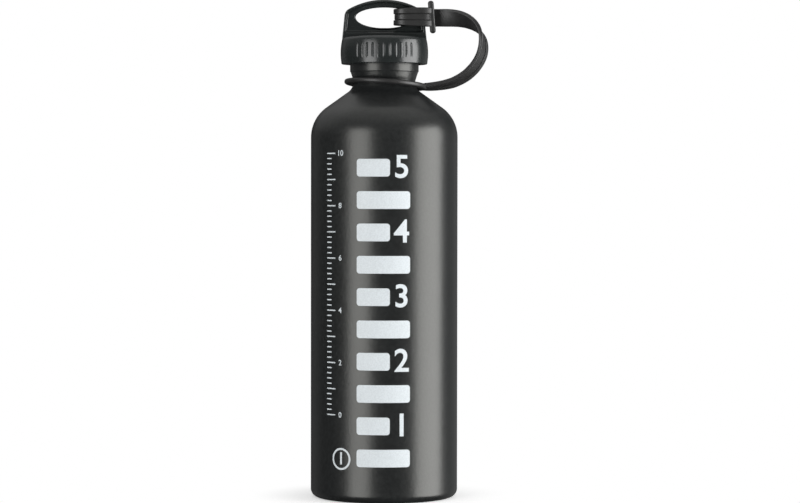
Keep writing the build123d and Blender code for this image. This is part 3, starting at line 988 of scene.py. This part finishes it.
def handle_shell(c):
    """The arch as one closed grid.

    Each row is the outline at one inset and depth, from the eye's wall over the web, the sloping pocket wall
    and the rim to the outer side, then the same again on the back.
    """
    half_web, half_depth = c.handle_web / 2, c.handle_depth / 2
    foot = c.rim + c.slope
    web_edge = foot + 1.0 * MM
    section = rounded([
        (web_edge, half_web, 0),
        (foot, half_web, 0.45 * MM),
        (c.rim, half_depth, 0.4 * MM),
        (0, half_depth, 0.42 * MM),
        (0, 0, 0),
    ], steps=6)

    def floor_of(inset):
        """Height of the outline's floor over the deck: low in the skirt outside, on the lip inside."""
        if inset <= c.rim:
            return np.interp(inset, [0.4 * c.rim, c.rim], [-c.leg_foot, c.floor_rise])
        return c.floor_rise + 1.5 * (inset - c.rim)

    def laid_back(flat, inset, depth):
        """Depth at each outline point: near the crown it shrinks towards the outer edge."""
        crown = smooth_step((flat[:, 1] - c.deck_height - c.arch_rise + 5 * MM) / (4 * MM))
        return depth * (1 - c.crown_lean * crown * max(c.rim - inset, 0) / c.rim)

    rows = []
    edge = c.eye_edge
    pocket = arch_outline(c, web_edge, c.deck_height + floor_of(web_edge), 0.6 * MM)
    eye = eye_towards(c, pocket)
    away = unit(pocket - eye)
    rows.append((eye, 0))
    rows.append((eye, half_web - edge - 0.1 * MM))
    for turn in np.linspace(0, math.pi / 2, 6):
        rows.append((eye + away * edge * (1 - math.cos(turn)), half_web - edge + edge * math.sin(turn)))
    rows.append((eye + away * (edge + 0.15 * MM), half_web))
    for inset, depth in section:
        if inset > web_edge - 0.01 * MM:
            rows.append((pocket, depth))
            continue
        corner = np.interp(inset, [0, c.rim, foot], [0.3, 1.4, 0.8]) * MM
        flat = arch_outline(c, inset, c.deck_height + floor_of(inset), corner)
        rows.append((flat, laid_back(flat, inset, depth)))
    front = np.stack([
        np.stack([flat[:, 0], np.broadcast_to(-depth, len(flat)), flat[:, 1]], axis=1) for flat, depth in rows
    ])
    back = front[-2:0:-1] * (1, -1, 1)
    points = np.concatenate([front, back])
    return points, grid_faces(len(points), points.shape[1], close_rows=True, close_columns=True)


def skirt_profile(c):
    """Half section of skirt and deck, from the axis under the deck round to the axis on top."""
    deck, inner_deck = c.deck_height, c.deck_height - c.deck_thickness
    low = deck - c.skirt_drop
    flare = 0.1 * MM
    side_radius, side_low = c.skirt_bottom + flare, low + 1.2 * MM
    inside = rounded([
        (0, inner_deck, 0),
        (c.skirt_inner, inner_deck, 1.0 * MM),
        (c.skirt_inner, c.bead_top, 0.2 * MM),
        (c.skirt_inner - c.bead_reach, c.bead_top - 0.3 * c.bead_height, 0.3 * MM),
        (c.skirt_inner, c.bead_top - c.bead_height, 0.3 * MM),
        (c.skirt_bottom - c.skirt_wall, low, 0.35 * MM),
        (c.skirt_bottom, low, 0.5 * MM),
        (side_radius, side_low, 0),
    ])
    side_high = deck - 0.8 * c.deck_edge
    narrowing = 4 * c.skirt_bulge + c.skirt_bottom + flare - c.skirt_top
    lean = math.atan(narrowing / (side_high - side_low))
    rise = np.linspace(0, 1, 26)
    side = np.stack([
        side_radius + (c.skirt_top - c.skirt_bottom - flare) * rise + c.skirt_bulge * 4 * rise * (1 - rise),
        side_low + (side_high - side_low) * rise,
    ], axis=1)
    turn = np.linspace(lean + 0.05, math.pi / 2, 12)
    radius = (deck - side_high) / (1 - math.sin(lean))
    middle = c.skirt_top - radius * math.cos(lean)
    edge = arc((middle, deck - radius), radius, turn)
    top = np.array([(middle - 0.3 * MM, deck), (0, deck)])
    return np.concatenate([inside[:-1], side, edge, top])


def skirt_radius_at(c, height):
    """Outside radius of the skirt at a height, read off its profile."""
    profile = skirt_profile(c)
    outer = profile[profile[:, 0] > c.skirt_top - 0.2 * MM]
    order = np.argsort(outer[:, 1])
    return np.interp(height, outer[order, 1], outer[order, 0])


def grip_rib(c, turn, low, high, width, stand):
    """A raised rib on the skirt, lens-shaped along its length.

    At u across and v along it, both from -1 to 1, it stands out by stand (1 - u^2)^2 (1 - v^4). Its underside
    lies in the skirt's wall, and each end is drawn in to its middle.
    """
    across, along = np.linspace(-1, 1, 13), np.linspace(-1, 1, 25)
    raised = stand * (1 - across[None] ** 2) ** 2 * (1 - along[:, None] ** 4) - 0.01 * MM
    out = np.concatenate([raised, np.full_like(raised, -0.3 * MM)], axis=1)
    side = np.broadcast_to(np.concatenate([across, across[::-1]]) * width / 2, out.shape)
    height = np.broadcast_to(((low + high) / 2 + along * (high - low) / 2)[:, None], out.shape)
    radius = skirt_radius_at(c, height) + out
    points = around(radius, turn + side / c.skirt_top, height)
    ends = points[[0, -1]].mean(axis=1, keepdims=True) * np.ones((1, points.shape[1], 1))
    points = np.concatenate([ends[:1], points, ends[1:]])
    return points, grid_faces(len(points), points.shape[1], close_columns=True)


class FUEL_OT_cap(bpy.types.Operator):
    """Turns skirt and deck, builds the arch handle and adds lugs and grip ribs"""

    bl_idname = "fuel.cap"
    bl_label = "Cap shell"

    def execute(self, context):
        c = context.scene.fuel_cap
        s = context.scene.fuel_stopper
        skirt = turned(skirt_profile(c), 192)
        inner_deck = c.deck_height - c.deck_thickness
        lug_tip = stopper_high[2] + CLEARANCE
        lugs = ratchet(
            s.tooth_count, math.pi / s.tooth_count, s.tooth_inner, s.tooth_outer, -s.tooth_width,
            s.tooth_ramp, inner_deck + 0.2 * MM, lug_tip,
        )
        ribs = []
        middle = c.deck_height - 0.5 * c.skirt_drop - 0.5 * MM
        low, high = middle - c.rib_height / 2, middle + c.rib_height / 2
        for side in (-1, 1):
            for index in range(c.rib_count):
                across = (index - (c.rib_count - 1) / 2) * c.rib_pitch
                turn = side * math.pi / 2 + across / c.skirt_top
                ribs.append(grip_rib(c, turn, low, high, c.rib_width, c.rib_stand))
        points, faces = joined([skirt, handle_shell(c), lugs] + ribs)
        plastic = [cap_plastic(c)]
        piece = put("cap_shell_moulded", points, faces, plastic, "cap_shell", sharp=38)
        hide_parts("cap_shell")
        return {"FINISHED"}


# ---- the strap ----

# The band's way from the ring to the handle: how far out, up and back, its roll in degrees and its width's
# share.
LOOP = (
    (0.00, 0.000, 0.00, 6, 1.30),
    (0.12, 0.003, 0.00, 13, 1.08),
    (0.24, 0.013, 0.00, 16, 1.01),
    (0.37, 0.031, 0.00, 20, 1.00),
    (0.502, 0.061, 0.00, 24, 1.00),
    (0.625, 0.113, 0.00, 27, 1.00),
    (0.737, 0.179, 0.00, 30, 1.00),
    (0.835, 0.264, 0.00, 32, 1.00),
    (0.914, 0.360, 0.00, 32, 1.00),
    (0.967, 0.461, 0.00, 32, 1.00),
    (0.991, 0.571, 0.00, 27, 1.00),
    (0.986, 0.675, 0.00, 20, 1.00),
    (0.954, 0.770, 0.00, 7, 1.00),
    (0.893, 0.848, 0.04, -13, 1.00),
    (0.814, 0.909, 0.13, -27, 1.00),
    (0.713, 0.956, 0.26, -41, 1.00),
    (0.599, 0.985, 0.43, -54, 1.00),
    (0.480, 0.997, 0.62, -68, 1.00),
    (0.330, 1.000, 0.82, -85, 1.00),
    (0.200, 1.000, 0.94, -90, 1.00),
    (0.110, 1.000, 0.98, -90, 1.00),
    (0.030, 1.000, 1.00, -90, 1.00),
)
# The tongue's way from the fold to the crossbar: how far out and how far forward.
TONGUE = ((0.18, 1.00), (0.45, 1.00), (0.62, 0.98), (0.78, 0.88), (0.90, 0.68), (1.00, 0.46))
# Places in LOOP: where the band's two pieces meet, and where the stem does.
SEAM_STATION = 17
STEM_STATION = 18
FOLD_STEPS = 8


def band_stations(s, eye_height):
    """Centre points, width directions and widths along the band, as in the solid model.

    The width's direction is forwards turned by the roll about the run, so that
    w = front cos(roll) - (run x front) sin(roll); once the band stands upright it is +Z.
    """
    side = s.ring_inner + s.ring_width / 2
    side_z = s.ring_height - side * math.sin(s.side_tilt)
    out, up, back, roll, wide = np.array(LOOP).T
    loop = np.stack([
        side + out * (s.loop_reach - side), back * s.wrap_offset, side_z + up * (eye_height - side_z)
    ], axis=1)
    fold_centre = s.fold_reach + s.wrap_offset
    turn = np.linspace(0, math.pi, FOLD_STEPS + 1)
    fold = np.stack([
        fold_centre - s.wrap_offset * np.sin(turn),
        s.wrap_offset * np.cos(turn),
        np.full(len(turn), eye_height),
    ], axis=1)
    reach, ahead = np.array(TONGUE).T
    tongue = np.stack([
        fold_centre + reach * (s.bar_reach - fold_centre),
        -ahead * s.wrap_offset,
        np.full(len(reach), eye_height),
    ], axis=1)
    places = np.concatenate([loop, fold, tongue])
    rolls = np.radians(np.concatenate([roll, np.full(len(fold) + len(tongue), -90.0)]))
    widths = np.concatenate([
        wide * s.band_width, np.full(len(fold), s.fold_width), np.full(len(tongue), s.tongue_width)
    ])
    ahead_place = np.concatenate([places[1:], places[-1:]])
    before = np.concatenate([places[:1], places[:-1]])
    front = np.array([0, -1, 0])
    outward = unit(np.cross(unit(ahead_place - before), front), least=1e-9)
    wide_dir = front * np.cos(rolls)[:, None] - outward * np.sin(rolls)[:, None]
    wide_dir[rolls < math.radians(-89.9)] = (0, 0, 1)
    return places, wide_dir, widths


def smoothed(values, spots, fine, spread):
    """Values at uneven spots, carried to fine spots and softened by a bell of the given spread.

    The ends are held by mirroring the values about them, so the softening doesn't pull them in.
    """
    dense = np.stack([np.interp(fine, spots, column) for column in values.T], axis=1)
    step = fine[1] - fine[0]
    reach = max(int(3 * spread / step), 1)
    bell = np.exp(-0.5 * (np.arange(-reach, reach + 1) * step / spread) ** 2)
    bell /= bell.sum()
    head = 2 * dense[0] - dense[reach:0:-1]
    tail = 2 * dense[-1] - dense[-2:-reach - 2:-1]
    padded = np.concatenate([head, dense, tail])
    return np.stack([np.convolve(column, bell, "valid") for column in padded.T], axis=1)


def droop(shares):
    """How far the band's round corners fall off, at shares of half its width: r (1 - sqrt(1 - t^2)).

    t goes from 0 to 1 over the outer tenth of the half width, and r is the drop at the edge.
    """
    edge = np.clip((np.abs(shares) - 0.9) / 0.1, 0, 1)
    return 0.5 * MM * (1 - np.sqrt(1 - edge**2))


def band_sections(s, count=84):
    """Closed section of the band in shares of half its width, and its height over the middle in metres.

    The plain face is level. The ridged face has a broad rail along each edge and a sunk middle, with a narrow
    groove at the foot of each rail, g(x) = exp(-((|x| - e) / w)^2); the corners are round.
    """
    half = s.band_thickness / 2
    across = np.linspace(1, -1, count)
    rail = smooth_step((np.abs(across) - s.channel_share) / 0.05)
    groove = np.exp(-(((np.abs(across) - s.channel_share + 0.03) / 0.035) ** 2))
    ridged = half - s.channel_depth * (1 - rail) - s.groove_depth * groove - droop(across)
    plain = -half + droop(across)
    shares = np.concatenate([across, across[::-1]])
    heights = np.concatenate([ridged, plain[::-1]])
    return shares, heights


def band_frames(s, eye_height, step=0.5):
    """Smoothed centre line, width directions, face normals and widths along the whole band."""
    places, wide_dir, widths = band_stations(s, eye_height)
    spots = np.concatenate([[0], np.cumsum(np.linalg.norm(np.diff(places, axis=0), axis=1))])
    fine = np.linspace(0, spots[-1], int(spots[-1] / (step * MM)))
    seam = spots[SEAM_STATION]
    centre = smoothed(places, spots, fine, 1.1 * MM)
    across = smoothed(wide_dir, spots, fine, 2.5 * MM)
    width = smoothed(widths[:, None], spots, fine, 2.5 * MM)[:, 0]
    run = unit(np.gradient(centre, axis=0))
    across = unit(across - run * np.sum(across * run, axis=1)[:, None])
    normal = np.cross(run, across)
    return fine, seam, centre, across, normal, width


def band_shell(s, centre, across, normal, width, relief):
    """Carries the section along the centre line: p = centre + across * share * width / 2 + normal * height.

    relief fades the ridges out where it is 0, and each end is closed by a ring drawn in to its middle.
    """
    shares, heights = band_sections(s)
    level = np.where(heights > 0, s.band_thickness / 2 - droop(shares), heights)
    height = level[None] + (heights - level)[None] * relief[:, None]
    points = (
        centre[:, None]
        + across[:, None] * (shares[None] * width[:, None] / 2)[..., None]
        + normal[:, None] * height[..., None]
    )
    first = np.repeat(centre[None, :1], points.shape[1], axis=1)
    last = np.repeat(centre[None, -1:], points.shape[1], axis=1)
    points = np.concatenate([first.reshape(1, -1, 3), points, last.reshape(1, -1, 3)])
    return points, grid_faces(len(points), points.shape[1], close_columns=True)


def neck_ring(s):
    """The strap's ring: a rounded section turned about its own axis, tilted and shifted as it hangs."""
    inner, outer, half = s.ring_inner, s.ring_inner + s.ring_width, s.ring_thickness / 2
    section = rounded([
        (inner, -half, 1.0 * MM), (outer, -half, 1.1 * MM), (outer, half, 1.1 * MM), (inner, half, 1.0 * MM)
    ], True)
    points, _ = turned(section, 168)
    faces = grid_faces(len(section), 168, close_rows=True, close_columns=True)
    cos_x, sin_x = math.cos(s.front_tilt), math.sin(s.front_tilt)
    cos_y, sin_y = math.cos(s.side_tilt), math.sin(s.side_tilt)
    about_x = np.array([(1, 0, 0), (0, cos_x, -sin_x), (0, sin_x, cos_x)])
    about_y = np.array([(cos_y, 0, sin_y), (0, 1, 0), (-sin_y, 0, cos_y)])
    tilted = points @ (about_x @ about_y).T
    return tilted + (s.ring_shift, s.ring_shift, s.ring_height), faces


def round_bar(middle, half_sizes, lean, cap_height, power=3.2, rows=12, columns=48):
    """A bar along Z with round ends, leaning.

    Round it the section is |x/a|^p + |y/b|^p = 1; over the last cap_height of each end it shrinks as cos(t)
    while the height goes on as sin(t).
    """
    quarter = np.linspace(0, math.pi / 2, rows)
    end_share = np.concatenate([np.cos(quarter[::-1]), np.cos(quarter)])[:, None]
    straight = half_sizes[2] - cap_height
    ends = cap_height * np.sin(quarter)
    along = np.concatenate([-straight - ends[::-1], straight + ends])
    turn = (np.arange(columns) / columns * TURN)[None]

    def raised(value, exponent):
        """Power of the size, with the sign kept."""
        return np.sign(value) * np.abs(value) ** exponent

    x = half_sizes[0] * end_share * raised(np.cos(turn), 2 / power)
    y = half_sizes[1] * end_share * raised(np.sin(turn), 2 / power)
    z = along[:, None] * np.ones_like(turn)
    cos, sin = math.cos(lean), math.sin(lean)
    leaned = np.stack([x * cos + z * sin, y, z * cos - x * sin], axis=-1)
    return leaned + middle, grid_faces(2 * rows, columns, close_columns=True)


class FUEL_OT_strap(bpy.types.Operator):
    """Moulds the strap: ring, grooved band with its quarter twist, fold, tongue, crossbar and stem"""

    bl_idname = "fuel.strap"
    bl_label = "Retaining strap"

    def execute(self, context):
        s = context.scene.fuel_strap
        c = context.scene.fuel_cap
        eye_height = c.deck_height + c.eye_rise
        finish = strap_elastomer(s)
        fine, seam, centre, across, normal, width = band_frames(s, eye_height)
        start_relief = smooth_step((fine - 3 * MM) / (9 * MM))
        end_relief = smooth_step((fine[-1] - 0.4 * MM - fine) / (2.5 * MM))
        relief = start_relief * end_relief
        cut = int(np.searchsorted(fine, seam))

        def band_part(rows):
            """The band's shell over some of its rows."""
            return band_shell(s, centre[rows], across[rows], normal[rows], width[rows], relief[rows])

        points, faces = joined([neck_ring(s), band_part(slice(0, cut + 1))])
        main_piece = put("retaining_strap_loop", points, faces, [finish], None, sharp=50)
        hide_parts("retaining_strap")
        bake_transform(main_piece)
        tongue_end = centre[-1]
        bar_middle = tongue_end + (-s.bar_inset, -s.bar_stand, 0)
        bar_halves = (s.bar_width / 2, s.bar_depth / 2, s.bar_length / 2)
        bar = round_bar(bar_middle, bar_halves, -s.bar_lean, 1.4 * MM)
        run_y = LOOP[STEM_STATION][2] * s.wrap_offset
        stem_middle = (tongue_end[0], (tongue_end[1] + run_y) / 2, eye_height)
        stem_halves = (1.1 * MM, (run_y - tongue_end[1]) / 2 + 0.8 * MM, 2.3 * MM)
        stem = round_bar(stem_middle, stem_halves, 0, 0.8 * MM)
        points, faces = joined([band_part(slice(cut, len(fine))), bar, stem])
        tail = put("retaining_strap_fold", points, faces, [finish], None, sharp=50)
        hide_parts("retaining_strap")
        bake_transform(tail)
        return {"FINISHED"}


# ---- the stage ----

# Soft lamps: name, azimuth in degrees (0 in front, 90 right), height, distance, size, radiance and the
# height aimed at.
SOFTBOXES = (
    ("left_softbox", -38.7, 0.10, 1.60, (0.95, 1.50), 3.75, 0.10),
    ("right_softbox", 74.4, 0.10, 1.50, (1.33, 1.50), 5.20, 0.10),
)
# Watts of an area lamp for each square metre and unit of radiance.
LAMP_WATTS = 4
# Glows of the room: the way they come from, the cosine to that way at which they begin, and their strength.
GLOWS = (
    ((0, 0, 1), 0.55, 0.58),
    ((0, 0, 1), 0.94, 0.35),
    ((-0.72, 0, 0.70), 0.72, 0.31),
    ((0.72, 0, 0.70), 0.72, 0.32),
    ((0, 0.70, 0.72), 0.72, 0.22),
    ((0, -0.70, 0.72), 0.72, 0.20),
    ((-0.62, 0.55, 0.56), 0.80, 0.30),
    ((-0.62, 0.70, -0.30), 0.85, 0.12),
    ((0.50, 0.80, -0.20), 0.85, 0.20),
)


def softbox(name, azimuth, height, distance, size, radiance, look_height):
    """A soft lamp on a circle round the bottle: azimuth is 0 in front and grows to the right."""
    lamp = bpy.data.lights.new(name, "AREA")
    lamp.shape = "RECTANGLE"
    lamp.size, lamp.size_y = size
    lamp.energy = radiance * size[0] * size[1] * LAMP_WATTS
    holder = bpy.data.objects.new(name, lamp)
    turn = math.radians(azimuth)
    holder.location = (distance * math.sin(turn), -distance * math.cos(turn), height)
    rise = math.atan2(height - look_height, distance)
    holder.rotation_euler = (math.pi / 2 - rise, 0, turn)
    holder.visible_camera = False
    bpy.context.scene.collection.objects.link(holder)


def glow(room, way, start, strength):
    """Room light that rises smoothly as the cosine between its way and the ray goes from start to 1."""
    way = np.array(way) / np.linalg.norm(way)
    ray = room.add("ShaderNodeTexCoord")
    cosine = room.add("ShaderNodeVectorMath", {"operation": "DOT_PRODUCT"}, {0: ray, 1: way}, output=1)
    lit = room.white("ShaderNodeBackground", strength)
    return room.add("ShaderNodeMixShader", sockets={0: room.steps(cosine, start, 1.0), 2: lit})


class FUEL_OT_stage(bpy.types.Operator):
    """Sets the floor, the soft lamps, the room light and the camera"""

    bl_idname = "fuel.stage"
    bl_label = "Stage"

    def execute(self, context):
        s = context.scene.fuel_stage
        scene = context.scene
        half = s.floor_size / 2
        level = bottle_low[2] - 0.02 * MM
        mesh = bpy.data.meshes.new("floor")
        corners = ((-half, -half), (half, -half), (half, half), (-half, half))
        mesh.from_pydata([(*corner, level) for corner in corners], [], [(0, 1, 2, 3)])
        floor = bpy.data.objects.new("floor", mesh)
        scene.collection.objects.link(floor)
        finish = material("floor", rgba(s.floor_colour))
        camera_ray = finish.add("ShaderNodeLightPath")
        paint = finish.add("ShaderNodeBsdfDiffuse", sockets={"Color": rgba(s.floor_colour)})
        white = finish.white("ShaderNodeEmission", 1.0)
        lift = finish.white("ShaderNodeEmission", s.floor_lift)
        shaded = finish.add("ShaderNodeAddShader", sockets={0: paint, 1: lift})
        away = finish.add("ShaderNodeVectorMath", {"operation": "LENGTH"}, {0: finish.place()}, output=1)
        beyond = finish.steps(away, s.shadow_inner, s.shadow_outer)
        shown = finish.add("ShaderNodeMixShader", sockets={0: beyond, 1: shaded, 2: white})
        surface = finish.add("ShaderNodeMixShader", sockets={0: camera_ray, 1: paint, 2: shown})
        finish.add("ShaderNodeOutputMaterial", sockets={"Surface": surface})
        mesh.materials.append(finish.owner)
        floor.visible_glossy = False
        floor.visible_shadow = False

        world = bpy.data.worlds.new("studio")
        scene.world = world
        room = Finish(world)
        seen_by_camera = room.add("ShaderNodeLightPath")
        dim = room.white("ShaderNodeBackground", s.room)
        for way, start, strength in GLOWS:
            dim = room.add("ShaderNodeAddShader", sockets={0: dim, 1: glow(room, way, start, strength)})
        pale = room.white("ShaderNodeBackground", 1.0)
        sky = room.add("ShaderNodeMixShader", sockets={0: seen_by_camera, 1: dim, 2: pale})
        room.add("ShaderNodeOutputWorld", sockets={"Surface": sky})

        for lamp in SOFTBOXES:
            softbox(*lamp)

        camera = bpy.data.cameras.new("camera")
        camera.lens = s.lens
        camera.sensor_width = 36.0
        camera.clip_start = 0.01
        viewer = bpy.data.objects.new("camera", camera)
        viewer.location = (s.camera_side, -s.camera_distance, s.camera_height)
        viewer.rotation_euler = (math.pi / 2 - s.camera_tilt, -s.camera_roll, 0)
        scene.collection.objects.link(viewer)
        scene.camera = viewer
        scene.view_settings.view_transform = "Standard"
        return {"FINISHED"}


# ---- panel and registration ----

OPERATORS = (
    FUEL_OT_bottle,
    FUEL_OT_print,
    FUEL_OT_stopper,
    FUEL_OT_seal,
    FUEL_OT_spring,
    FUEL_OT_cap,
    FUEL_OT_strap,
    FUEL_OT_stage,
)


class FUEL_PT_panel(bpy.types.Panel):
    """Lists the pieces of the fuel bottle"""

    bl_idname = "FUEL_PT_panel"
    bl_label = "Camping Fuel Bottle"
    bl_space_type = "VIEW_3D"
    bl_region_type = "UI"
    bl_category = "Fuel Bottle"

    def draw(self, context):
        column = self.layout.column(align=True)
        for operator in OPERATORS:
            column.operator(operator.bl_idname)


def register():
    for name, group in SETTINGS.items():
        for key, setting in group.__annotations__.items():
            setting.keywords["name"] = key.replace("_", " ").capitalize()
        bpy.utils.register_class(group)
        setattr(bpy.types.Scene, name, PointerProperty(type=group))
    for operator in OPERATORS:
        bpy.utils.register_class(operator)
    bpy.utils.register_class(FUEL_PT_panel)


def unregister():
    bpy.utils.unregister_class(FUEL_PT_panel)
    for operator in reversed(OPERATORS):
        bpy.utils.unregister_class(operator)
    for name in SETTINGS:
        delattr(bpy.types.Scene, name)
    for group in reversed(list(SETTINGS.values())):
        bpy.utils.unregister_class(group)


def main():
    register()
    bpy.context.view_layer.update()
    bpy.ops.fuel.bottle()
    bpy.ops.fuel.print_marks()
    bpy.ops.fuel.stopper()
    bpy.ops.fuel.seal()
    bpy.ops.fuel.spring()
    bpy.ops.fuel.cap()
    bpy.ops.fuel.strap()
    bpy.ops.fuel.stage()
    bpy.context.view_layer.update()


if __name__ == "__main__":
    main()
